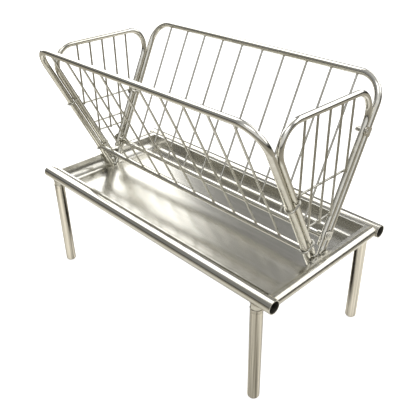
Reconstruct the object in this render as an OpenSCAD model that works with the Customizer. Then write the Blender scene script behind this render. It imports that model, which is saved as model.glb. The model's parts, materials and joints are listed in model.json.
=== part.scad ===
// Dish rack: a tube stand on four pull-off legs carries a sheet drip tray, and a V-shaped basket of
// two leaning panels stands in the tray. Each end of the V has a gate that swings in rings round the
// front panel's leg and hooks round the back panel's leg. X runs along the rack, -Y is the front and
// Z is up; the origin is under the middle, on the worktop.

/* [Stand] */
// Length of the front and back tubes
rail_len = 661; // [620:1:720]
// Outer diameter of the front and back tubes
rail_od = 25; // [23:0.5:27]
// Wall of the front and back tubes
rail_wall = 1.2; // [0.8:0.1:2]
// Distance between the axes of the front and back tubes
rail_pitch = 302; // [290:1:330]
// Height of the tube axes above the worktop
rail_z = 223; // [190:1:260]
// Outer diameter of the end tubes
end_tube_od = 19; // [17:0.5:21]
// Wall of the end tubes
end_tube_wall = 1; // [0.8:0.1:2]
// From the tips of the long tubes in to the axes of the end tubes
end_tube_inset = 11; // [10:0.5:16]

/* [Legs] */
// Outer diameter of the legs
leg_od = 22; // [20:0.5:24]
// Wall of the legs
leg_wall = 1; // [0.8:0.1:1.5]
// From the tips of the long tubes in to the axes of the legs
leg_inset = 35.5; // [32:0.5:60]
// Radius round the closed foot of a leg
leg_toe_r = 5; // [3:0.5:7]
// How far the bead at a leg's rim stands out
rim_bead = 0.6; // [0.2:0.1:0.8]
// Depth of the two rolled grooves under the rim
groove_depth = 0.4; // [0.2:0.05:0.5]
// Diameter of the collar seen between a leg and its long tube
neck_od = 21; // [20.5:0.1:21.5]
// Height of the collar
neck_len = 7; // [4:0.5:12]
// How far a stub reaches into its leg
stub_len = 40; // [25:1:60]
// Wall of the stubs
stub_wall = 1.5; // [1:0.1:2.5]
// Gap all round between a stub and its leg
stub_fit = 0.05; // [0.02:0.01:0.1]

/* [Drip tray] */
// Depth from the rim to the floor
tray_depth = 29.5; // [25:0.5:34]
// Thickness of the tray's sheet
tray_sheet = 1; // [0.6:0.1:1.2]
// Radius between the floor and the end walls
end_cove_r = 20; // [14:0.5:22]
// Radius between the floor and the long walls
side_cove_r = 11; // [6:0.5:16]
// Radius of the bend at the rim
rim_bend_r = 2; // [1.5:0.1:3]
// From the outside of an end wall to the end tube
tray_end_gap = 5; // [4:0.5:8]
// How far the rim reaches over an end tube from that wall
end_rim_w = 8.5; // [7:0.5:10]
// From the outside of a long wall to the long tube
tray_side_gap = 3.5; // [3:0.5:8]
// Width of the rim along a long wall
side_rim_w = 4.5; // [2:0.5:5]

/* [Basket] */
// Angle of each panel from upright
lean = 26; // [22:0.5:28]
// Outer diameter of the panel tubes
panel_tube_od = 12.5; // [11:0.5:13]
// Wall of the panel and gate tubes
thin_wall = 1; // [0.8:0.1:1.5]
// From the tray's end walls in to the axes of the panels' legs
panel_inset = 9.5; // [9:0.5:20]
// From a panel's foot up to the axis of its top rail
panel_len = 337.5; // [300:1:360]
// Radius of a panel's corners, at the tube's axis
panel_corner_r = 46; // [30:1:60]
// Gap between the two panels' legs where they meet the tray
foot_gap = 0.4; // [0.2:0.1:4]
// Outer diameter of the low rails
low_rail_od = 11.5; // [10:0.5:12]
// From the foot up the panel to the front low rail
front_low_rail_s = 59; // [57:0.5:90]
// From the foot up the panel to the back low rail
back_low_rail_s = 52.5; // [46:0.5:90]
// Diameter of the wires
wire_d = 4; // [3:0.5:5]
// Number of wires in a panel
panel_wires = 10; // [6:1:14]

/* [Foot brackets] */
// Width of a foot bracket
bracket_w = 56; // [50:1:80]
// Thickness of its sheet
bracket_sheet = 1.5; // [1:0.1:2]
// How far it runs on over the tray's floor past the end cove
bracket_toe = 4; // [2:0.5:20]
// How far its lip reaches out over the tray's rim
bracket_lip = 6; // [5:0.5:8]
// Radius of its corners
bracket_corner_r = 3; // [1:0.5:3.5]

/* [Gates] */
// Outer diameter of the gate tubes
gate_tube_od = 11; // [9:0.5:11.5]
// Gap between a gate's legs and the panels' legs
gate_gap = 1.3; // [1.2:0.1:2]
// Height of a gate's top rail
gate_top_z = 500; // [470:1:505]
// Radius of a gate's corners, at the tube's axis
gate_corner_r = 40; // [25:1:45]
// How much smaller the radius of a gate's tube is in its bends
bend_thinning = 0.03; // [0.02:0.01:0.1]
// Height at which a gate's front leg ends
gate_front_end_z = 236; // [235:1:241]
// Height at which a gate's back leg ends
gate_back_end_z = 243; // [242:1:246]
// Number of upright wires in a gate
gate_wires = 5; // [3:2:5]
// Distance between them
gate_wire_pitch = 31; // [28:0.5:32]
// Height of the upper cross wire, which carries the outer uprights
upper_cross_z = 369; // [365:1:400]
// Height of the lower cross wire, which carries the inner uprights
lower_cross_z = 297; // [297:1:310]
// Height of the left gate's middle cross wire
mid_cross_z = 319; // [315:1:340]
// Wire of the hinge rings
ring_wire_d = 3.5; // [2.5:0.5:4]
// From the foot up the front panel to the lower rings, which the low rail interrupts
low_ring_s = 59.5; // [57:0.5:62]
// From the foot up the front panel to the left gate's upper ring
left_high_ring_s = 195; // [183:0.5:200]
// From the foot up the front panel to the right gate's upper ring
right_high_ring_s = 168; // [120:0.5:168]
// Gap between a ring and the panel leg that it is welded to
weld_gap = 0.05; // [0.02:0.01:0.1]

/* [Hooks] */
// Height of a hook's strap along the tube
strap_h = 16; // [12:0.5:20]
// Thickness of a hook's strap
strap_sheet = 1.2; // [0.8:0.1:2]
// From the bolt to the strap's free end
strap_tail = 7.5; // [6.5:0.5:10]
// Diameter of the bolts
bolt_d = 4; // [3:0.5:5]
// Diameter of the bolt heads
bolt_head_d = 7.5; // [7:0.5:9]
// Height of the bolt heads
bolt_head_h = 2; // [1.5:0.1:3]
// Diameter of the cap nuts
nut_d = 8.5; // [7.5:0.5:8.5]
// Length of the cap nuts
nut_len = 7.8; // [6:0.1:7.8]
// Gap round a bolt in its holes
bolt_fit = 0.1; // [0.05:0.01:0.2]
// From the foot up the back panel to both ends' lower hooks
low_hook_s = 58; // [56:0.5:70]
// From the foot up the back panel to the right gate's upper hook
right_high_hook_s = 245; // [180:1:250]
// From the foot up the back panel to the left gate's upper hook
left_high_hook_s = 171; // [140:1:250]

/* [Fits] */
// Gap under what rests on another piece
seat_gap = 0.3; // [0.1:0.05:0.5]
// Gap between a leg's rim and the collar above it
rim_gap = 0.2; // [0.1:0.05:0.5]

/* [Hidden] */
$fn = 64;
bite = 1;
lap = 0.05;

end_tube_x = rail_len / 2 - end_tube_inset;
leg_x = rail_len / 2 - leg_inset;
rail_y = rail_pitch / 2;
leg_h = rail_z - rail_od / 2 - neck_len;
leg_bore = leg_od - 2 * leg_wall;
stub_od = leg_bore - 2 * stub_fit;
groove_drops = [4, 6.5];
rim_bead_r = 1;

tray_out_x = end_tube_x - end_tube_od / 2 - tray_end_gap;
tray_out_y = rail_y - rail_od / 2 - tray_side_gap;
tray_in_x = tray_out_x - tray_sheet;
tray_in_y = tray_out_y - tray_sheet;
rim_x = tray_out_x + end_rim_w;
rim_y = tray_out_y + side_rim_w;
shoulder_h = sqrt(pow(end_tube_od / 2, 2) - pow(end_tube_x - rim_x, 2));
rim_z = rail_z + shoulder_h + seat_gap + tray_sheet;
tray_floor_z = rim_z - tray_depth;

bracket_in_x = tray_in_x - seat_gap - bracket_sheet;
bracket_top_z = rim_z + seat_gap + bracket_sheet;
bracket_toe_x = tray_in_x - end_cove_r - bracket_toe;
bracket_lip_x = tray_in_x + bracket_lip;
foot_z = tray_floor_z + seat_gap + bracket_sheet;
foot_y = (foot_gap + panel_tube_od / cos(lean)) / 2;
panel_x = tray_in_x - panel_inset;
panel_w = 2 * panel_x;
wire_pitch = panel_w / (panel_wires + 1);

gate_n = panel_tube_od / 2 + gate_gap + gate_tube_od / 2;
gate_base_z = foot_z + gate_n * sin(lean);
gate_corner_z = gate_top_z - gate_corner_r;
gate_corner_n = gate_n + gate_corner_r;
gate_corner_s = (gate_corner_z - foot_z - gate_corner_n * sin(lean)) / cos(lean);
gate_corner_y = -foot_y - gate_corner_s * sin(lean) + gate_corner_n * cos(lean);
gate_front_end_s = (gate_front_end_z - gate_base_z) / cos(lean);
gate_back_end_s = (gate_back_end_z - gate_base_z) / cos(lean);
ring_r = panel_tube_od / 2 + weld_gap + ring_wire_d / 2;

strap_in_r = panel_tube_od / 2 + seat_gap;
nut_bore_len = 5;
nut_round_r = 2.5;
right_hooks = [low_hook_s, right_high_hook_s];
left_hooks = [low_hook_s, left_high_hook_s];

// Shared places and shapes

module left_side() mirror([1, 0, 0]) children();
module back_side() mirror([0, 1, 0]) children();

// A round bar along X, centred on the middle
module bar_x(d, length) rotate([0, 90, 0]) cylinder(d = d, h = length, center = true);

// A round bar along Y, centred on the middle
module bar_y(d, length) rotate([90, 0, 0]) cylinder(d = d, h = length, center = true);

// The front panel's own frame: Z runs up the panel from its foot and Y points into the basket
module front_plane() translate([0, -foot_y, foot_z]) rotate([lean, 0, 0]) children();
module back_plane() back_side() front_plane() children();

// The long tube's outside, for coping what is welded to it
module rail_solid(side) translate([0, side * rail_y, rail_z]) bar_x(rail_od, rail_len);

// Half the section of a trough: a floor, a cove, an upright wall and a flared mouth
module trough_half(half, floor_z, top_z, cove, mouth) {
    square_h = top_z - floor_z;
    translate([0, floor_z]) square([half - cove, square_h]);
    translate([0, floor_z + cove]) square([half, square_h - cove]);
    translate([half - cove, floor_z + cove]) circle(cove);
    difference() {
        translate([0, top_z - mouth]) square([half + mouth, mouth]);
        translate([half + mouth, top_z - mouth]) circle(mouth);
    }
}

module trough(half, floor_z, top_z, cove, mouth) {
    trough_half(half, floor_z, top_z, cove, mouth);
    mirror([1, 0]) trough_half(half, floor_z, top_z, cove, mouth);
}

// Sections drawn in X and Z, or in Y and Z, swept across the other way
module sweep_y(width) rotate([90, 0, 0]) linear_extrude(width, center = true) children();
module sweep_x(width) rotate([90, 0, 90]) linear_extrude(width, center = true) children();

// Stand

module long_tube(side) {
    translate([0, side * rail_y, rail_z]) difference() {
        bar_x(rail_od, rail_len);
        bar_x(rail_od - 2 * rail_wall, rail_len + 2 * bite);
    }
}

module front_long_tube() color("gainsboro") long_tube(-1);
module back_long_tube() color("gainsboro") long_tube(1);

// The end tubes are fish-mouthed onto the long tubes
module end_tube() {
    difference() {
        translate([end_tube_x, 0, rail_z]) bar_y(end_tube_od, rail_pitch);
        translate([end_tube_x, 0, rail_z]) bar_y(end_tube_od - 2 * end_tube_wall, rail_pitch + 2 * bite);
        rail_solid(-1);
        rail_solid(1);
    }
}

module left_end_tube() color("silver") left_side() end_tube();
module right_end_tube() color("silver") end_tube();

module stub() {
    difference() {
        union() {
            translate([leg_x, rail_y, leg_h + rim_gap]) cylinder(d = neck_od, h = neck_len + rail_od / 2);
            translate([leg_x, rail_y, leg_h - stub_len]) cylinder(d = stub_od, h = stub_len + neck_len);
        }
        rail_solid(1);
        translate([leg_x, rail_y, leg_h - stub_len - bite])
            cylinder(d = stub_od - 2 * stub_wall, h = stub_len + bite);
    }
}

module leg_stubs() {
    color("gray") for (mx = [0, 1], my = [0, 1]) mirror([mx, 0, 0]) mirror([0, my, 0]) stub();
}

// Half the section of a leg, turned round its axis
module leg_section(r, toe, base) {
    translate([0, base + toe]) square([r, leg_h - base - toe]);
    translate([0, base]) square([r - toe, toe]);
    intersection() {
        translate([r - toe, base + toe]) circle(toe);
        translate([0, base]) square([r, leg_h]);
    }
}

module leg() {
    translate([leg_x, rail_y, 0]) difference() {
        rotate_extrude() {
            difference() {
                leg_section(leg_od / 2, leg_toe_r, 0);
                for (drop = groove_drops)
                    translate([leg_od / 2, leg_h - drop]) circle(groove_depth);
            }
            translate([leg_od / 2 - rim_bead_r + rim_bead, leg_h - rim_bead_r]) circle(rim_bead_r);
        }
        rotate_extrude() leg_section(leg_bore / 2, leg_toe_r - leg_wall, leg_wall);
        translate([0, 0, leg_h - bite]) cylinder(d = leg_bore, h = 2 * bite);
    }
}

module front_left_leg() color("tan") left_side() back_side() leg();
module front_right_leg() color("tan") back_side() leg();
module back_left_leg() color("tan") left_side() leg();
module back_right_leg() color("tan") leg();

// Drip tray: a folded trough with mitred corners and a rim all round, hung on the end tubes

module drip_tray() {
    color("lightgray") difference() {
        intersection() {
            sweep_y(2 * rim_y) {
                trough(tray_out_x, tray_floor_z - tray_sheet, rim_z, end_cove_r + tray_sheet,
                    rim_bend_r - tray_sheet);
                translate([-rim_x, rim_z - tray_sheet]) square([2 * rim_x, tray_sheet]);
            }
            sweep_x(2 * rim_x) {
                trough(tray_out_y, tray_floor_z - tray_sheet, rim_z, side_cove_r + tray_sheet,
                    rim_bend_r - tray_sheet);
                translate([-rim_y, rim_z - tray_sheet]) square([2 * rim_y, tray_sheet]);
            }
        }
        intersection() {
            sweep_y(2 * rim_y) trough(tray_in_x, tray_floor_z, rim_z, end_cove_r, rim_bend_r);
            sweep_x(2 * rim_x) trough(tray_in_y, tray_floor_z, rim_z, side_cove_r, rim_bend_r);
        }
    }
}

// Basket

// The space above the foot brackets, which trims the feet of the panels to the bent sheet
module foot_space() {
    inset = seat_gap + bracket_sheet;
    sweep_y(2 * panel_len) {
        half = bracket_in_x;
        cove = end_cove_r - inset;
        translate([-(half - cove), foot_z]) square([2 * (half - cove), panel_len]);
        translate([-half, foot_z + cove]) square([2 * half, panel_len]);
        for (mx = [-1, 1]) translate([mx * (half - cove), foot_z + cove]) circle(cove);
    }
}

// A sheet bent to the tray's end cove, with a lip over the rim
module foot_bracket_section() {
    cove = end_cove_r - seat_gap;
    out_x = tray_in_x - seat_gap;
    bend_r = 2 * bracket_sheet;
    difference() {
        union() {
            translate([bracket_toe_x, foot_z - bracket_sheet])
                square([out_x - cove - bracket_toe_x, 2 * bracket_sheet]);
            intersection() {
                translate([out_x - cove, foot_z - bracket_sheet + cove]) circle(cove);
                translate([out_x - cove, 0]) square([cove, foot_z - bracket_sheet + cove]);
            }
            translate([bracket_in_x, foot_z - bracket_sheet + cove])
                square([bracket_sheet, bracket_top_z - bend_r - foot_z + bracket_sheet - cove]);
            intersection() {
                translate([bracket_in_x + bend_r, bracket_top_z - bend_r]) circle(bend_r);
                translate([bracket_in_x, bracket_top_z - bend_r]) square(bend_r);
            }
            translate([bracket_in_x + bend_r, bracket_top_z - bracket_sheet])
                square([bracket_lip_x - bracket_in_x - bend_r, bracket_sheet]);
        }
        translate([out_x - cove, foot_z - bracket_sheet + cove]) circle(cove - bracket_sheet);
        translate([bracket_toe_x - bite, foot_z])
            square([out_x - cove - bracket_toe_x + bite, cove]);
        translate([bracket_in_x + bend_r, bracket_top_z - bend_r]) circle(bend_r - bracket_sheet);
    }
}

module foot_bracket() {
    intersection() {
        sweep_y(bracket_w) foot_bracket_section();
        linear_extrude(2 * rim_z) {
            translate([bracket_toe_x + bracket_corner_r, -bracket_w / 2])
                square([bracket_lip_x - bracket_toe_x - 2 * bracket_corner_r, bracket_w]);
            translate([bracket_toe_x, -bracket_w / 2 + bracket_corner_r])
                square([bracket_lip_x - bracket_toe_x, bracket_w - 2 * bracket_corner_r]);
            for (x = [bracket_toe_x + bracket_corner_r, bracket_lip_x - bracket_corner_r], my = [-1, 1])
                translate([x, my * (bracket_w / 2 - bracket_corner_r)]) circle(bracket_corner_r);
        }
    }
}

module left_foot_bracket() color("silver") left_side() foot_bracket();
module right_foot_bracket() color("silver") foot_bracket();

// A bar bent to the panel's outline: two legs, two corners and the top rail between them
module panel_bar(d, start) {
    for (mx = [0, 1]) mirror([mx, 0, 0]) {
        translate([panel_x, 0, start]) cylinder(d = d, h = panel_len - panel_corner_r - start);
        translate([panel_x - panel_corner_r, 0, panel_len - panel_corner_r]) rotate([90, 0, 0])
            rotate_extrude(angle = 90) translate([panel_corner_r, 0]) circle(d = d);
    }
    translate([0, 0, panel_len]) bar_x(d, panel_w - 2 * panel_corner_r);
}

module panel_frame() {
    intersection() {
        front_plane() difference() {
            panel_bar(panel_tube_od, -panel_tube_od);
            panel_bar(panel_tube_od - 2 * thin_wall, -panel_tube_od - bite);
        }
        foot_space();
    }
}

module low_rail(s) {
    front_plane() difference() {
        translate([0, 0, s]) bar_x(low_rail_od, panel_w);
        translate([0, 0, s]) bar_x(low_rail_od - 2 * thin_wall, panel_w + 2 * bite);
        for (mx = [-1, 1]) translate([mx * panel_x, 0, s - low_rail_od])
            cylinder(d = panel_tube_od, h = 2 * low_rail_od);
    }
}

module panel_wire_set(s) {
    front_plane() for (i = [1:panel_wires]) difference() {
        translate([-panel_x + i * wire_pitch, 0, s]) cylinder(d = wire_d, h = panel_len - s);
        translate([-panel_x + i * wire_pitch, 0, s]) bar_x(low_rail_od, wire_pitch);
        translate([-panel_x + i * wire_pitch, 0, panel_len]) bar_x(panel_tube_od, wire_pitch);
    }
}

module front_panel_frame() color("lightgray") panel_frame();
module front_low_rail() color("lightgray") low_rail(front_low_rail_s);
module front_panel_wires() color("gainsboro") panel_wire_set(front_low_rail_s);
module back_panel_frame() color("lightgray") back_side() panel_frame();
module back_low_rail() color("lightgray") back_side() low_rail(back_low_rail_s);
module back_panel_wires() color("gainsboro") back_side() panel_wire_set(back_low_rail_s);

// A racetrack of wire round a panel leg and the gate leg beside it
module hinge_ring() {
    for (my = [0, 1]) translate([0, my * gate_n, 0]) rotate([0, 0, my * 180])
        rotate_extrude(angle = -180) translate([ring_r, 0]) circle(d = ring_wire_d);
    for (mx = [-1, 1]) translate([mx * ring_r, gate_n / 2, 0]) bar_y(ring_wire_d, gate_n);
}

// The lower ring is welded to the low rail's end on both sides of the rail
module hinge_rings(high_s) {
    front_plane() difference() {
        for (s = [low_ring_s, high_s]) translate([panel_x, 0, s]) hinge_ring();
        translate([panel_x / 2, 0, front_low_rail_s]) bar_x(low_rail_od + 2 * weld_gap, panel_x);
    }
}

module left_hinge_rings() color("silver") left_side() hinge_rings(left_high_ring_s);
module right_hinge_rings() color("silver") hinge_rings(right_high_ring_s);

// Gates

// Half of a gate's outline, from the corner's centre: half the top rail, the corner and a leg
module gate_half_bar(d, end_s) {
    translate([panel_x, gate_corner_y, gate_corner_z]) {
        translate([0, (-gate_corner_y - lap) / 2, gate_corner_r]) bar_y(d, -gate_corner_y + lap);
        rotate([90, 0, 90]) rotate([0, 0, 90]) rotate_extrude(angle = 90 + lean)
            translate([gate_corner_r, 0]) circle(d = d - 2 * bend_thinning);
        rotate([lean, 0, 0]) translate([0, -gate_corner_r, lap]) mirror([0, 0, 1])
            cylinder(d = d, h = gate_corner_s - end_s + lap);
    }
}

module gate_bar(d, extra) {
    gate_half_bar(d, gate_front_end_s - extra);
    back_side() gate_half_bar(d, gate_back_end_s - extra);
}

// Bars along X where the hook bolts cross the gate's back leg
module hook_axis(s) back_plane() translate([panel_x, gate_n, s]) children();

module gate_frame(high_s) {
    difference() {
        gate_bar(gate_tube_od, 0);
        gate_bar(gate_tube_od - 2 * thin_wall, bite);
        for (s = [low_hook_s, high_s]) hook_axis(s) bar_x(bolt_d + 2 * bolt_fit, 2 * gate_tube_od);
    }
}

// The frame of a gate's front leg, for coping what is welded to it
module gate_leg_solid() front_plane() translate([panel_x, gate_n, 0]) children();

// The cross wires run between the gate's legs; face is 1 when the uprights are outside them
module gate_cross_wires(face, heights) {
    difference() {
        for (z = heights)
            translate([panel_x - face * wire_d / 2, 0, z]) bar_y(wire_d, rail_pitch);
        for (my = [0, 1]) mirror([0, my, 0]) gate_leg_solid() {
            cylinder(d = gate_tube_od, h = gate_corner_s);
            translate([-gate_tube_od, -rail_pitch, 0]) cube([2 * gate_tube_od, rail_pitch, panel_len]);
        }
    }
}

// The outer uprights end on the upper cross wire and the others on the lower one
module gate_upright_wires(face) {
    outer = (gate_wires - 1) / 2;
    difference() {
        for (i = [-outer:outer]) {
            foot_h = (abs(i) == outer ? upper_cross_z : lower_cross_z) - wire_d / 2;
            translate([panel_x + face * wire_d / 2, i * gate_wire_pitch, foot_h])
                cylinder(d = wire_d, h = gate_top_z - foot_h);
        }
        translate([panel_x, 0, gate_top_z]) bar_y(gate_tube_od, -2 * gate_corner_y);
        for (my = [0, 1]) mirror([0, my, 0]) gate_leg_solid()
            cylinder(d = gate_tube_od, h = gate_corner_s);
    }
}

// A strap on the outside of both tubes that curls round the back of the panel's leg
module hook_strap(s) {
    back_plane() translate([panel_x, 0, s]) difference() {
        union() {
            translate([strap_in_r, 0, -strap_h / 2]) cube([strap_sheet, gate_n, strap_h]);
            translate([strap_in_r, gate_n, 0]) rotate([0, 90, 0]) intersection() {
                cylinder(d = strap_h, h = strap_sheet);
                translate([-strap_h / 2, 0, 0]) cube([strap_h, strap_tail, strap_sheet]);
            }
            translate([0, 0, -strap_h / 2]) rotate_extrude(angle = -90)
                translate([strap_in_r, 0]) square([strap_sheet, strap_h]);
            translate([0, gate_n, 0]) rotate([0, 90, 0])
                cylinder(d = bolt_head_d, h = strap_in_r + strap_sheet / 2);
        }
        translate([0, gate_n, -strap_h]) cylinder(d = gate_tube_od, h = 2 * strap_h);
        translate([0, gate_n, 0]) bar_x(bolt_d + 2 * bolt_fit, 4 * gate_tube_od);
        translate([-gate_tube_od, 0, -strap_h]) cube([gate_tube_od, 2 * gate_n, 2 * strap_h]);
    }
}

module hook_bolt(s) {
    head_x = strap_in_r + strap_sheet;
    end_x = -gate_tube_od / 2 - nut_bore_len;
    hook_axis(s) rotate([0, 90, 0]) {
        translate([0, 0, end_x]) cylinder(d = bolt_d, h = head_x - end_x);
        translate([0, 0, head_x]) cylinder(d = bolt_head_d, h = bolt_head_h / 2);
        translate([0, 0, head_x + bolt_head_h / 2])
            cylinder(d1 = bolt_head_d, d2 = bolt_head_d - bolt_head_h, h = bolt_head_h / 2);
    }
}

// A cap nut whose seat is coped to the gate tube
module hook_nut(s) {
    hook_axis(s) difference() {
        rotate([0, -90, 0]) rotate_extrude() {
            square([nut_d / 2, nut_len + gate_tube_od / 2 - nut_round_r]);
            square([nut_d / 2 - nut_round_r, nut_len + gate_tube_od / 2]);
            intersection() {
                translate([nut_d / 2 - nut_round_r, nut_len + gate_tube_od / 2 - nut_round_r])
                    circle(nut_round_r);
                square(nut_len + gate_tube_od);
            }
        }
        translate([0, 0, -nut_d]) cylinder(d = gate_tube_od, h = 2 * nut_d);
        rotate([0, -90, 0])
            cylinder(d = bolt_d + 2 * bolt_fit, h = gate_tube_od / 2 + nut_bore_len + bolt_fit);
        translate([0, -nut_d, -nut_d]) cube(2 * nut_d);
    }
}

module left_gate_frame() color("lightgray") left_side() gate_frame(left_high_hook_s);
module left_gate_cross_wires() color("gainsboro") left_side()
    gate_cross_wires(-1, [lower_cross_z, mid_cross_z, upper_cross_z]);
module left_gate_wires() color("gainsboro") left_side() gate_upright_wires(-1);
module left_hook_straps() color("silver") left_side() for (s = left_hooks) hook_strap(s);
module left_hook_bolts() color("gray") left_side() for (s = left_hooks) hook_bolt(s);
module left_hook_nuts() color("gray") left_side() for (s = left_hooks) hook_nut(s);
module right_gate_frame() color("lightgray") gate_frame(right_high_hook_s);
module right_gate_cross_wires() color("gainsboro") gate_cross_wires(1, [lower_cross_z, upper_cross_z]);
module right_gate_wires() color("gainsboro") gate_upright_wires(1);
module right_hook_straps() color("silver") for (s = right_hooks) hook_strap(s);
module right_hook_bolts() color("gray") for (s = right_hooks) hook_bolt(s);
module right_hook_nuts() color("gray") for (s = right_hooks) hook_nut(s);

front_long_tube();
back_long_tube();
left_end_tube();
right_end_tube();
leg_stubs();
front_left_leg();
front_right_leg();
back_left_leg();
back_right_leg();
drip_tray();
left_foot_bracket();
right_foot_bracket();
front_panel_frame();
front_low_rail();
front_panel_wires();
back_panel_frame();
back_low_rail();
back_panel_wires();
left_hinge_rings();
right_hinge_rings();
left_gate_frame();
left_gate_cross_wires();
left_gate_wires();
left_hook_straps();
left_hook_bolts();
left_hook_nuts();
right_gate_frame();
right_gate_cross_wires();
right_gate_wires();
right_hook_straps();
right_hook_bolts();
right_hook_nuts();
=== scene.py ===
import json
import math
import random

import bmesh
import bpy
from mathutils import Matrix, Vector


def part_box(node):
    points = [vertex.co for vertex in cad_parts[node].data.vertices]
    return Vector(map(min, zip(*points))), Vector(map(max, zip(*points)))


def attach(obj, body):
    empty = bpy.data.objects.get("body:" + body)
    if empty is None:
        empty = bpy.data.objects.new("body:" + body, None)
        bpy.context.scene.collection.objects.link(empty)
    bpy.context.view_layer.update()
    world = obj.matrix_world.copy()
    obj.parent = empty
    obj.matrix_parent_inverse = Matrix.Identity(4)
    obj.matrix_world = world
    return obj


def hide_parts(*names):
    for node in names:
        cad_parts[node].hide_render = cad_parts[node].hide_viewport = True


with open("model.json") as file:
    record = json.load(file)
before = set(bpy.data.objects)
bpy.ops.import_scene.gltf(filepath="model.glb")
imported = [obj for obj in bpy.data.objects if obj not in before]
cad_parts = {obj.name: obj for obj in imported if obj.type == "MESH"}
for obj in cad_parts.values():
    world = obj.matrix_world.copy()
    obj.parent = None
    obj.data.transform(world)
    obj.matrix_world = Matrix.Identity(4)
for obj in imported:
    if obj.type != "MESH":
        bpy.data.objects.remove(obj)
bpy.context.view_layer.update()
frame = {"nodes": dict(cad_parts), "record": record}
nodes = frame["nodes"]
joints = {joint["name"]: joint for joint in frame["record"]["behaviour"]["joints"]}
print("frame loaded:", len(nodes), "nodes")


# shader graphs

class Socket:  # a shader value that can be used in arithmetic
    def __init__(self, graph, out):
        self.graph = graph
        self.out = out

    def plus(self, other):
        return self.graph.maths("ADD", self, other)

    def less(self, other):
        return self.graph.maths("SUBTRACT", self, other)

    def lessFrom(self, other):
        return self.graph.maths("SUBTRACT", other, self)

    def times(self, other):
        return self.graph.maths("MULTIPLY", self, other)

    __add__ = __radd__ = plus
    __sub__ = less
    __rsub__ = lessFrom
    __mul__ = __rmul__ = times


class Graph:  # the node tree of one material or of the world
    def __init__(self, tree):
        self.tree = tree
        tree.nodes.clear()

    def node(self, kind, settings=None, sockets=None, out=0):  # settings first, then values and links
        made = self.tree.nodes.new(kind)
        for name, value in (settings or {}).items():
            setattr(made, name, value)
        for name, value in (sockets or {}).items():
            slot = made.inputs[name]
            if isinstance(value, Socket):
                self.tree.links.new(value.out, slot)
            else:
                slot.default_value = value
        return Socket(self, made.outputs[out]) if made.outputs else None

    def maths(self, operation, a, b):
        return self.node("ShaderNodeMath", {"operation": operation}, {0: a, 1: b})

    def vector(self, operation, a, b):
        return self.node("ShaderNodeVectorMath", {"operation": operation}, {0: a, 1: b})

    def dot(self, a, b):
        return self.node("ShaderNodeVectorMath", {"operation": "DOT_PRODUCT"}, {0: a, 1: b}, out=1)

    def length(self, a):
        return self.node("ShaderNodeVectorMath", {"operation": "LENGTH"}, {0: a}, out=1)

    def blend(self, factor, a, b, mode="MIX"):  # two colours
        settings = {"data_type": "RGBA", "blend_type": mode, "clamp_factor": True}
        return self.node("ShaderNodeMix", settings, {0: factor, 6: a, 7: b}, out=2)

    def between(self, value, low, high, toLow=0.0, toHigh=1.0):
        sockets = {0: value, 1: low, 2: high, 3: toLow, 4: toHigh}
        return self.node("ShaderNodeMapRange", {"clamp": True}, sockets)

    def noise(self, place, scale, detail, roughness=0.5):
        sockets = {"Vector": place, "Scale": scale, "Detail": detail, "Roughness": roughness}
        return self.node("ShaderNodeTexNoise", None, sockets)

    def ownPlace(self):  # object coordinates
        return self.node("ShaderNodeTexCoord", out=3)

    def cameraSees(self):
        return self.node("ShaderNodeLightPath", out=0)


def tone(hexCode):  # a written colour as linear numbers
    parts = [int(hexCode[i:i + 2], 16) / 255 for i in (1, 3, 5)]
    return (*[p / 12.92 if p <= 0.04045 else ((p + 0.055) / 1.055) ** 2.4 for p in parts], 1)


# finishes

# what all the steels share
pattern = {"drawnDetail": 3.0, "drawnRoughness": 0.6, "cloudDetail": 4.0, "smearDetail": 2.0, "smearScale": 5,
           "streakFrom": (0.35, 0.65), "cloudFrom": (0.35, 0.7), "grainFrom": (0.3, 0.7),
           "smearFrom": (0.45, 0.75), "bumpDistance": 0.0001}


def drawnNoise(g, place, scale):  # fine noise, stretched by its own amount along each axis
    stretched = g.node("ShaderNodeMapping", None, {0: place, 3: scale})
    return g.noise(stretched, 1.0, pattern["drawnDetail"], pattern["drawnRoughness"])


def steel(name, look):  # drawn or rolled steel: grain, coloured streaks, clouds and smears
    finish = bpy.data.materials.new(name)
    finish.use_nodes = True
    g = Graph(finish.node_tree)
    place = g.ownPlace()
    grain = drawnNoise(g, place, look["grain"])
    streak = drawnNoise(g, place, look["streaks"])
    cloud = g.noise(place, look["cloud"], pattern["cloudDetail"])
    smear = g.noise(place, look["cloud"] * pattern["smearScale"], pattern["smearDetail"])
    tint = g.blend(g.between(streak, *pattern["streakFrom"]), tone(look["colour"]), tone(look["streak"]))
    shaded = g.blend(1.0, tint, tone(look["shade"]), "MULTIPLY")
    tint = g.blend(g.between(cloud, *pattern["cloudFrom"]), tint, shaded)
    rough = look["rough"] + g.between(grain, *pattern["grainFrom"], -1.0, 1.0) * look["roughGrain"]
    rough = rough + g.between(smear, *pattern["smearFrom"]) * look["roughSmear"]
    relief = {"Strength": look["bump"], "Distance": pattern["bumpDistance"], "Height": grain}
    bump = g.node("ShaderNodeBump", None, relief)
    sockets = {"Base Color": tint, "Roughness": rough, "Metallic": 1.0, "Normal": bump}
    surface = g.node("ShaderNodeBsdfPrincipled", None, sockets)
    g.node("ShaderNodeOutputMaterial", None, {"Surface": surface})
    return finish


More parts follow.
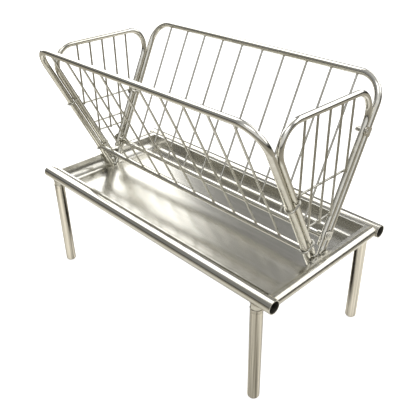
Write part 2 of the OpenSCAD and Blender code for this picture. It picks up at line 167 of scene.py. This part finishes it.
standLook = {"colour": "#d6d4cd", "streak": "#c4c1b8", "streaks": (3, 120, 120), "shade": "#f0efe9",
             "grain": (1500, 60, 60), "cloud": 6.0, "rough": 0.14, "roughGrain": 0.02,
             "roughSmear": 0.04, "bump": 0.1}
# legs: the light and dark streaks along them are partly drawn lines and partly painted reflection bands of
# the floor and room
legStreakAndPaintedReflectionLook = {**standLook, "colour": "#f6f1e6", "streak": "#827d73", "streaks": (130, 130, 2),
           "grain": (60, 60, 1500), "rough": 0.17}
panelLook = {**standLook, "colour": "#dcdbd4", "streak": "#cfccc3", "rough": 0.1}
wireLook = {**standLook, "colour": "#c9c8c2", "streak": "#b5b3ab", "rough": 0.15}
trayLook = {**standLook, "colour": "#cfcdc6", "streak": "#c6c4bc", "grain": (8, 700, 700), "cloud": 2.5,
            "rough": 0.2, "roughSmear": 0.03, "bump": 0.05}
fittingLook = {**standLook, "colour": "#d0cfca", "rough": 0.18}

finishes = {
    "stand_tube": steel("standSteel", standLook),
    "leg_tube": steel("legSteelPaintedReflection", legStreakAndPaintedReflectionLook),
    "tray_sheet": steel("traySteel", trayLook),
    "basket_tube": steel("panelSteel", panelLook),
    "wire": steel("wireSteel", wireLook),
    "fittings": steel("fittingSteel", fittingLook),
}
for node in nodes.values():
    for slot in node.material_slots:
        slot.material = finishes[slot.material.name.split(".")[0]]
print("finishes on")


# places in the frame, and mesh work that the added pieces share

alongX, alongY, alongZ = Vector((1, 0, 0)), Vector((0, 1, 0)), Vector((0, 0, 1))
tube = {"long": 0.0125, "end": 0.0095, "neck": 0.0105, "panel": 0.00625, "low": 0.00575,
        "gate": 0.0055, "wire": 0.002, "ring": 0.00175}  # outer radii


def middle(name):
    lowest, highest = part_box(name)
    return (lowest + highest) / 2


def panelPlace(side):  # the panel's upward direction, its top rail and its low rail
    swing = Vector(joints["right_gate_swing"]["axis"])
    rise = Vector((0, (1 if side == "back" else -1) * abs(swing.y), abs(swing.z)))
    lowest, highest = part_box(side + "_panel_frame")
    edge = highest.y - tube["panel"] if side == "back" else lowest.y + tube["panel"]
    return rise, Vector((0, edge, highest.z - tube["panel"])), middle(side + "_low_rail")


def panelLegX(side):
    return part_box(side + "_panel_frame")[1].x - tube["panel"]


def gateAxis(side):  # a point on the gate's hinge axis
    return Vector(joints[side + "_gate_swing"]["pos_m"])


def solidPiece(name, body, finish, build):  # one smooth mesh, from a function that fills a bmesh
    shape = bmesh.new()
    build(shape)
    bmesh.ops.recalc_face_normals(shape, faces=shape.faces)
    for face in shape.faces:
        face.smooth = True
    mesh = bpy.data.meshes.new(name)
    shape.to_mesh(mesh)
    shape.free()
    made = bpy.data.objects.new(name, mesh)
    bpy.context.scene.collection.objects.link(made)
    made.data.materials.append(finish)
    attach(made, body)
    return made


def ring(shape, centre, side, up, radius, count):  # a ring of vertices
    turns = [2 * math.pi * k / count for k in range(count)]
    return [shape.verts.new(centre + (side * math.cos(t) + up * math.sin(t)) * radius) for t in turns]


def joinRings(shape, rings, closed=False):  # faces between neighbouring rings
    count = len(rings[0])
    for i in range(len(rings) if closed else len(rings) - 1):
        a, b = rings[i], rings[(i + 1) % len(rings)]
        for k in range(count):
            shape.faces.new((a[k], a[(k + 1) % count], b[(k + 1) % count], b[k]))


def capEnds(shape, rings):
    shape.faces.new(rings[0])
    shape.faces.new(rings[-1])


# weld beads

weldLook = {"ripple": 0.16, "uneven": 0.06, "pitch": 0.0016, "sides": 8, "endSize": 0.35,
            "wire": 0.0006, "rail": 0.0009, "stand": 0.0011, "ring": 0.0007, "spot": 0.0011,
            "wireSteps": 24, "railSteps": 44, "standSteps": 56, "panelWires": 10}
weldSteelLook = {**standLook, "colour": "#bdb7a8", "streak": "#8e887b", "streaks": (500, 500, 500),
                 "grain": (900, 900, 900), "rough": 0.3, "roughGrain": 0.06, "bump": 0.4}
weldSteel = steel("weldSteel", weldSteelLook)

# the first seed of each kind of bead
beadSeeds = {"stand": 0, "topRail": 0, "lowRail": 20, "railEnd": 40, "ring": 60, "upright": 80,
             "spot": 100, "spotRow": 10, "crossEnd": 140}


def bead(shape, path, radius, seed, closed=True, ripple=weldLook["ripple"]):  # a rippled bead along a path
    chance = random.Random(seed)
    shift = chance.uniform(0, 2 * math.pi)
    rings = []
    last = len(path) - 1
    run = 0.0
    for i, point in enumerate(path):
        before = path[i - 1] if i or closed else point
        after = path[(i + 1) % len(path)] if i < last or closed else point
        run += (point - before).length if i else 0
        ahead = (after - before).normalized()
        if rings:  # keep the ring's turn from one point to the next
            side = (side - ahead * side.dot(ahead)).normalized()
        else:
            side = ahead.orthogonal().normalized()
        size = radius * (1 + ripple * math.sin(2 * math.pi * run / weldLook["pitch"] + shift))
        size *= chance.uniform(1 - weldLook["uneven"], 1 + weldLook["uneven"])
        if not closed:  # run the ends out
            swell = math.sin(math.pi * (i + 0.5) / len(path)) ** 0.5
            size *= weldLook["endSize"] + (1 - weldLook["endSize"]) * swell
        rings.append(ring(shape, point, side, ahead.cross(side), size, weldLook["sides"]))
    joinRings(shape, rings, closed)
    if not closed:
        capEnds(shape, rings)


def copeLine(start, ahead, radius, host, hostAxis, hostRadius, steps):  # where one round bar meets another
    side = ahead.orthogonal().normalized()
    up = ahead.cross(side)
    flatAhead = ahead - hostAxis * ahead.dot(hostAxis)
    a = flatAhead.length_squared
    path = []
    for i in range(steps):
        turn = 2 * math.pi * i / steps
        point = start + (side * math.cos(turn) + up * math.sin(turn)) * radius
        flat = (point - host) - hostAxis * (point - host).dot(hostAxis)
        b, c = flat.dot(flatAhead), flat.length_squared - hostRadius ** 2
        path.append(point + ahead * ((-b - math.sqrt(max(b * b - a * c, 0.0))) / a))
    return path


def standWelds(shape):  # the end tubes and the leg stubs on the long tubes
    meets = []
    for side in ("front", "back"):
        host = middle(side + "_long_tube")
        outward = alongY if host.y > 0 else -alongY
        meets += [(host, Vector((middle(end).x, 0, host.z)), outward, tube["end"])
                  for end in ("left_end_tube", "right_end_tube")]
        meets += [(host, middle(side + leg), alongZ, tube["neck"]) for leg in ("_left_leg", "_right_leg")]
    for i, (host, start, ahead, radius) in enumerate(meets):
        path = copeLine(start, ahead, radius, host, alongX, tube["long"], weldLook["standSteps"])
        bead(shape, path, weldLook["stand"], beadSeeds["stand"] + i)


def panelWelds(side):  # a panel's wires on its rails, and its low rail on its legs
    def build(shape):
        rise, top, bottom = panelPlace(side)
        lowest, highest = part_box(side + "_panel_wires")
        first, last = lowest.x + tube["wire"], highest.x - tube["wire"]
        for i in range(weldLook["panelWires"]):
            across = alongX * (first + (last - first) * i / (weldLook["panelWires"] - 1))
            start = (top + bottom) / 2 + across
            for rail, ahead, host, hostRadius in (("topRail", rise, top, tube["panel"]),
                                                  ("lowRail", -rise, bottom, tube["low"])):
                path = copeLine(start, ahead, tube["wire"], host, alongX, hostRadius, weldLook["wireSteps"])
                bead(shape, path, weldLook["wire"], beadSeeds[rail] + i)
        for i, way in enumerate((-1, 1)):
            leg = alongX * way * panelLegX(side) + bottom
            path = copeLine(bottom, alongX * way, tube["low"], leg, rise, tube["panel"],
                            weldLook["railSteps"])
            bead(shape, path, weldLook["rail"], beadSeeds["railEnd"] + i)
    return build


ringLook = {"spread": 0.75, "off": 0.0004, "sweep": 80, "step": 5}  # sweep and step in degrees


def ringWelds(shape):  # each upper hinge ring is welded round the outside of the front panel's leg
    rise, top = panelPlace("front")[:2]
    outward = Vector((0, -rise.z, rise.y))
    reach = tube["panel"] + ringLook["off"]
    turns = range(-ringLook["sweep"], ringLook["sweep"] + 1, ringLook["step"])
    arc = [outward * math.cos(math.radians(t)) + alongX * math.sin(math.radians(t)) for t in turns]
    for way, name in ((-1, "left_hinge_rings"), (1, "right_hinge_rings")):
        high = max((v.co - top).dot(rise) for v in nodes[name].data.vertices) - tube["ring"]
        for k, edge in enumerate((-1, 1)):
            centre = top + alongX * way * panelLegX("front")
            centre += rise * (high + edge * tube["ring"] * ringLook["spread"])
            path = [centre + spoke * reach for spoke in arc]
            bead(shape, path, weldLook["ring"], beadSeeds["ring"] + k, closed=False)


gateLook = {"left": (0.297, 0.319, 0.369), "right": (0.297, 0.369),  # heights of the cross wires
            "between": 0.4,  # a height between the cross wires and the top rail
            "uprights": 5, "spotReach": 5, "spotSteps": 4, "spotRipple": 0.05}


def gateWelds(side):  # a gate's uprights on its top rail and cross wires, and those on its legs
    def build(shape):
        rise = panelPlace("front")[0]
        heights = gateLook[side]
        lowest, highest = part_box(side + "_gate_wires")
        wireX, crossX = (lowest.x + highest.x) / 2, middle(side + "_gate_cross_wires").x
        axisPoint = gateAxis(side)
        topRail = Vector((axisPoint.x, 0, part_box(side + "_gate_frame")[1].z - tube["gate"]))
        first, last = lowest.y + tube["wire"], highest.y - tube["wire"]
        outer = (0, gateLook["uprights"] - 1)
        for i in range(gateLook["uprights"]):
            y = first + (last - first) * i / (gateLook["uprights"] - 1)
            if i not in outer:  # the outer two end in the corner bends
                path = copeLine(Vector((wireX, y, gateLook["between"])), alongZ, tube["wire"], topRail,
                                alongY, tube["gate"], weldLook["wireSteps"])
                bead(shape, path, weldLook["wire"], beadSeeds["upright"] + i)
            for k, z in enumerate(heights):
                if i in outer and z < heights[-1]:  # the outer two stand on the upper cross wire
                    continue
                spot = Vector(((wireX + crossX) / 2, y, z))
                steps = range(-gateLook["spotReach"], gateLook["spotReach"] + 1)
                path = [spot + alongY * tube["wire"] * t / gateLook["spotSteps"] for t in steps]
                seed = beadSeeds["spot"] + i + beadSeeds["spotRow"] * k
                bead(shape, path, weldLook["spot"], seed, closed=False, ripple=gateLook["spotRipple"])
        for k, z in enumerate(heights):
            for way in (-1, 1):
                legAxis = Vector((0, way * abs(rise.y), rise.z))
                leg = Vector((axisPoint.x, -way * axisPoint.y, axisPoint.z))
                path = copeLine(Vector((crossX, 0, z)), alongY * way, tube["wire"], leg, legAxis,
                                tube["gate"], weldLook["wireSteps"])
                bead(shape, path, weldLook["wire"], beadSeeds["crossEnd"] + k)
    return build


solidPiece("standWelds", "stand", weldSteel, standWelds)
solidPiece("ringWelds", "basket", weldSteel, ringWelds)
for side in ("front", "back"):
    solidPiece(side + "PanelWelds", "basket", weldSteel, panelWelds(side))
for side in ("left", "right"):
    solidPiece(side + "GateWelds", side + "_gate", weldSteel, gateWelds(side))
print("weld beads made")


# the cut end of each gate's front leg, below the rim's height

endLook = {"from": 0.236, "to": 0.2262, "radius": 0.0055, "bore": 0.0045, "lip": 0.0004, "bevel": 0.3,
           "inside": 0.004, "sides": 48}


def legEnd(side):
    def build(shape):
        rise = panelPlace("front")[0]
        axisPoint = gateAxis(side)
        head, foot = ((endLook[k] - axisPoint.z) / rise.z for k in ("from", "to"))
        outer, bore, lip = endLook["radius"], endLook["bore"], endLook["lip"]
        bevel = lip * endLook["bevel"]
        profile = [(head, outer), (foot + lip, outer), (foot + bevel, outer - bevel), (foot, outer - lip),
                   (foot, bore + lip), (foot + lip, bore), (foot + endLook["inside"], bore), (head, bore)]
        rings = [ring(shape, axisPoint + rise * along, alongX, rise.cross(alongX), radius, endLook["sides"])
                 for along, radius in profile]
        joinRings(shape, rings, closed=True)
    return build


for side in ("left", "right"):
    solidPiece(side + "GateLegEnd", side + "_gate", finishes["basket_tube"], legEnd(side))
print("leg ends made")


# the unpolished bores and rounded mouths of the long tubes' open ends

boreLook = {"radius": 0.01129, "skin": 0.00006, "mouth": 0.0006, "taper": 0.0018, "depth": 0.05,
            "roundSteps": 4, "sides": 64}
millLook = {**standLook, "colour": "#b4b1a8", "streak": "#8f8c84", "streaks": (4, 260, 260),
            "rough": 0.5, "roughGrain": 0.08, "bump": 0.25}
millSteel = steel("millSteel", millLook)


def tubeBores(shape):
    radius, mouth, depth = boreLook["radius"], boreLook["mouth"], boreLook["depth"]
    skin, lip = radius - boreLook["skin"], mouth / 2
    quarter = [math.pi / 2 * k / boreLook["roundSteps"] for k in range(boreLook["roundSteps"] + 1)]
    profile = [(0, radius)]  # depth in the tube, and radius there
    profile += [(lip * (1 - math.cos(t)), skin - lip * math.sin(t)) for t in quarter]
    profile += [(mouth, skin - lip), (boreLook["taper"], skin), (depth, skin), (depth, radius)]
    for name in ("front_long_tube", "back_long_tube"):
        centre = middle(name)
        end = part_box(name)[1].x
        for way in (-1, 1):
            rings = [ring(shape, Vector((way * (end - inside), centre.y, centre.z)), alongY, alongZ, around,
                          boreLook["sides"]) for inside, around in profile]
            joinRings(shape, rings, closed=True)


solidPiece("tubeBores", "stand", millSteel, tubeBores)
print("tube bores made")


# hook bolts: pan heads with a hexagon socket

boltLook = {"radius": 0.002, "point": 0.0004, "head": 0.00375, "headHeight": 0.002, "edge": 0.0002,
            "dome": 0.0006, "shoulder": (0.4, 0.78), "flat": 0.56, "socket": 0.0016, "lead": 1.1,
            "depth": 0.0012, "tip": 0.0003, "sides": 36}


def boltProfile(inner, outer):  # place along the bolt, radius, and whether it is a hexagon there
    shank, head, edge, dome = (boltLook[k] for k in ("radius", "head", "edge", "dome"))
    seat, socket, bottom = outer - boltLook["headHeight"], boltLook["socket"], outer - boltLook["depth"]
    shoulderIn, shoulderOut = boltLook["shoulder"]
    stem = [(inner, shank - boltLook["point"]), (inner + boltLook["point"], shank), (seat, shank)]
    cap = [(seat, head - edge), (seat + edge, head), (outer - dome - 2 * edge, head),
           (outer - dome, head - edge), (outer - dome * shoulderIn, head * shoulderOut),
           (outer, head * boltLook["flat"])]
    key = [(outer, socket * boltLook["lead"]), (outer - edge, socket), (bottom, socket)]
    return ([(*point, False) for point in stem + cap] + [(*point, True) for point in key]
            + [(bottom - boltLook["tip"], edge, False)])


def hookBolts(side):
    def build(shape):
        points = [v.co for v in nodes[side + "_hook_bolts"].data.vertices]
        halfway = (min(p.z for p in points) + max(p.z for p in points)) / 2
        way = 1 if side == "right" else -1
        turns = [2 * math.pi * k / boltLook["sides"] for k in range(boltLook["sides"])]
        for group in ([p for p in points if p.z < halfway], [p for p in points if p.z >= halfway]):
            y, z = ((min(p[k] for p in group) + max(p[k] for p in group)) / 2 for k in (1, 2))
            along = [p.x * way for p in group]
            rings = []
            for place, radius, hexagon in boltProfile(min(along), max(along)):
                around = []
                for t in turns:
                    flat = math.cos(math.pi / 6) / math.cos(t % (math.pi / 3) - math.pi / 6) if hexagon else 1
                    around.append(shape.verts.new((way * place, y + radius * flat * math.cos(t),
                                                   z + radius * flat * math.sin(t))))
                rings.append(around)
            joinRings(shape, rings)
            capEnds(shape, rings)
    return build


for side in ("left", "right"):
    bolts = solidPiece(side + "Bolts", side + "_gate", finishes["fittings"], hookBolts(side))
    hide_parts(side + "_hook_bolts")
print("hook bolts made")


# floor: white to the camera, and to everything else a warm card with a painted shadow in its middle

floorLook = {"half": 6.0, "seen": 0.84, "plain": (0.5, 0.5, 0.5, 1), "near": "#f7f4ec", "far": "#a8a397",
             "card": (0.8, 0.62, 1.0), "cardEdge": (0.88, 1.12), "under": "#45423c",
             "shade": (0.28, 0.15, 1.0), "shadeAt": (0, 0.03, 0), "shadeEdge": (0.8, 1.15)}
half = floorLook["half"]
floorMesh = bpy.data.meshes.new("floor")
floorMesh.from_pydata([(-half, -half, 0), (half, -half, 0), (half, half, 0), (-half, half, 0)], [],
                      [(0, 1, 2, 3)])
floor = bpy.data.objects.new("floor", floorMesh)
bpy.context.scene.collection.objects.link(floor)
paper = bpy.data.materials.new("paper")
paper.use_nodes = True
g = Graph(paper.node_tree)
seen = g.cameraSees()
place = g.ownPlace()
outside = g.between(g.length(g.vector("DIVIDE", place, floorLook["card"])), *floorLook["cardEdge"])
card = g.blend(outside, tone(floorLook["near"]), tone(floorLook["far"]))
# painted shadow of the rack: the card turns dark inside an ellipse under it, seen only in reflections
offset = g.vector("SUBTRACT", place, floorLook["shadeAt"])
clear = g.between(g.length(g.vector("DIVIDE", offset, floorLook["shade"])), *floorLook["shadeEdge"])
card = g.blend(clear, tone(floorLook["under"]), card)
matt = g.node("ShaderNodeBsdfDiffuse", None, {"Color": g.blend(seen, card, floorLook["plain"])})
glow = g.node("ShaderNodeEmission", None, {"Color": (1, 1, 1, 1), "Strength": seen * floorLook["seen"]})
both = g.node("ShaderNodeAddShader", None, {0: matt, 1: glow})
g.node("ShaderNodeOutputMaterial", None, {"Surface": both})
floor.data.materials.append(paper)


# room: dark at the horizon, grey walls, a brighter front and ceiling, and white to the camera

roomLook = {"horizon": 0.03, "wall": 0.31, "ceiling": 0.6, "wallFrom": (0.06, 0.22),
            "ceilingFrom": (0.6, 0.95), "front": 0.62, "frontAt": (0.62, -0.78, 0),
            "frontFrom": (0.35, 0.75), "frontFoot": (-0.02, 0.04)}
world = bpy.data.worlds.new("studio")
bpy.context.scene.world = world
world.use_nodes = True
g = Graph(world.node_tree)
seen = g.cameraSees()
facing = g.node("ShaderNodeTexCoord", out=0)
height = g.node("ShaderNodeSeparateXYZ", None, {0: facing}, out=2)
room = g.between(height, *roomLook["wallFrom"], roomLook["horizon"], roomLook["wall"])
room = room + g.between(height, *roomLook["ceilingFrom"], 0.0, roomLook["ceiling"] - roomLook["wall"])
front = g.between(g.dot(facing, roomLook["frontAt"]), *roomLook["frontFrom"])
room = room + front * g.between(height, *roomLook["frontFoot"]) * roomLook["front"]
sky = g.node("ShaderNodeBackground", None, {"Color": (1, 1, 1, 1), "Strength": room + seen * (1 - room)})
g.node("ShaderNodeOutputWorld", None, {"Surface": sky})


# softboxes: azimuth from +Y towards -X, both angles in degrees, size in metres, power in watts

boxLook = {
    "sideBox": {"azimuth": 78, "elevation": 38, "size": (2.4, 3.2), "power": 58},
    "backBox": {"azimuth": -25, "elevation": 38, "size": (3.7, 1.7), "power": 36},
    "frontBox": {"azimuth": 225, "elevation": 60, "size": (1.6, 0.9), "power": 10},
}
boxAim = {"target": (0, 0, 0.25), "distance": 2.6}


def direction(azimuth, elevation):  # as a unit vector, from radians
    return Vector((-math.sin(azimuth) * math.cos(elevation), math.cos(azimuth) * math.cos(elevation),
                   math.sin(elevation)))


for name, look in boxLook.items():
    lamp = bpy.data.lights.new(name, "AREA")
    lamp.shape = "RECTANGLE"
    lamp.size, lamp.size_y = look["size"]
    lamp.energy = look["power"]
    softbox = bpy.data.objects.new(name, lamp)
    away = direction(math.radians(look["azimuth"]), math.radians(look["elevation"]))
    softbox.location = Vector(boxAim["target"]) + away * boxAim["distance"]
    softbox.rotation_mode = "QUATERNION"
    softbox.rotation_quaternion = away.to_track_quat("Z", "Y")
    bpy.context.scene.collection.objects.link(softbox)


# camera

cameraLook = {"azimuth": 46.35, "elevation": 30.76, "roll": -0.87, "distance": 1.2875,
              "target": (-0.047, 0.071, 0.150), "focal": 49.61, "sensor": 36, "clip": (0.05, 30)}
azimuth, elevation, roll = (math.radians(cameraLook[k]) for k in ("azimuth", "elevation", "roll"))
ahead = direction(azimuth, -elevation)
level = Vector((math.cos(azimuth), math.sin(azimuth), 0))
upward = level.cross(ahead)
right = math.cos(roll) * level + math.sin(roll) * upward
top = -math.sin(roll) * level + math.cos(roll) * upward
lens = bpy.data.cameras.new("camera")
lens.sensor_width = cameraLook["sensor"]
lens.lens = cameraLook["focal"]
lens.clip_start, lens.clip_end = cameraLook["clip"]
camera = bpy.data.objects.new("camera", lens)
bpy.context.scene.collection.objects.link(camera)
spot = Vector(cameraLook["target"]) - ahead * cameraLook["distance"]
camera.matrix_world = Matrix.Translation(spot) @ Matrix((right, top, -ahead)).transposed().to_4x4()
bpy.context.scene.camera = camera
bpy.context.scene.view_settings.view_transform = "Standard"
print("studio ready")
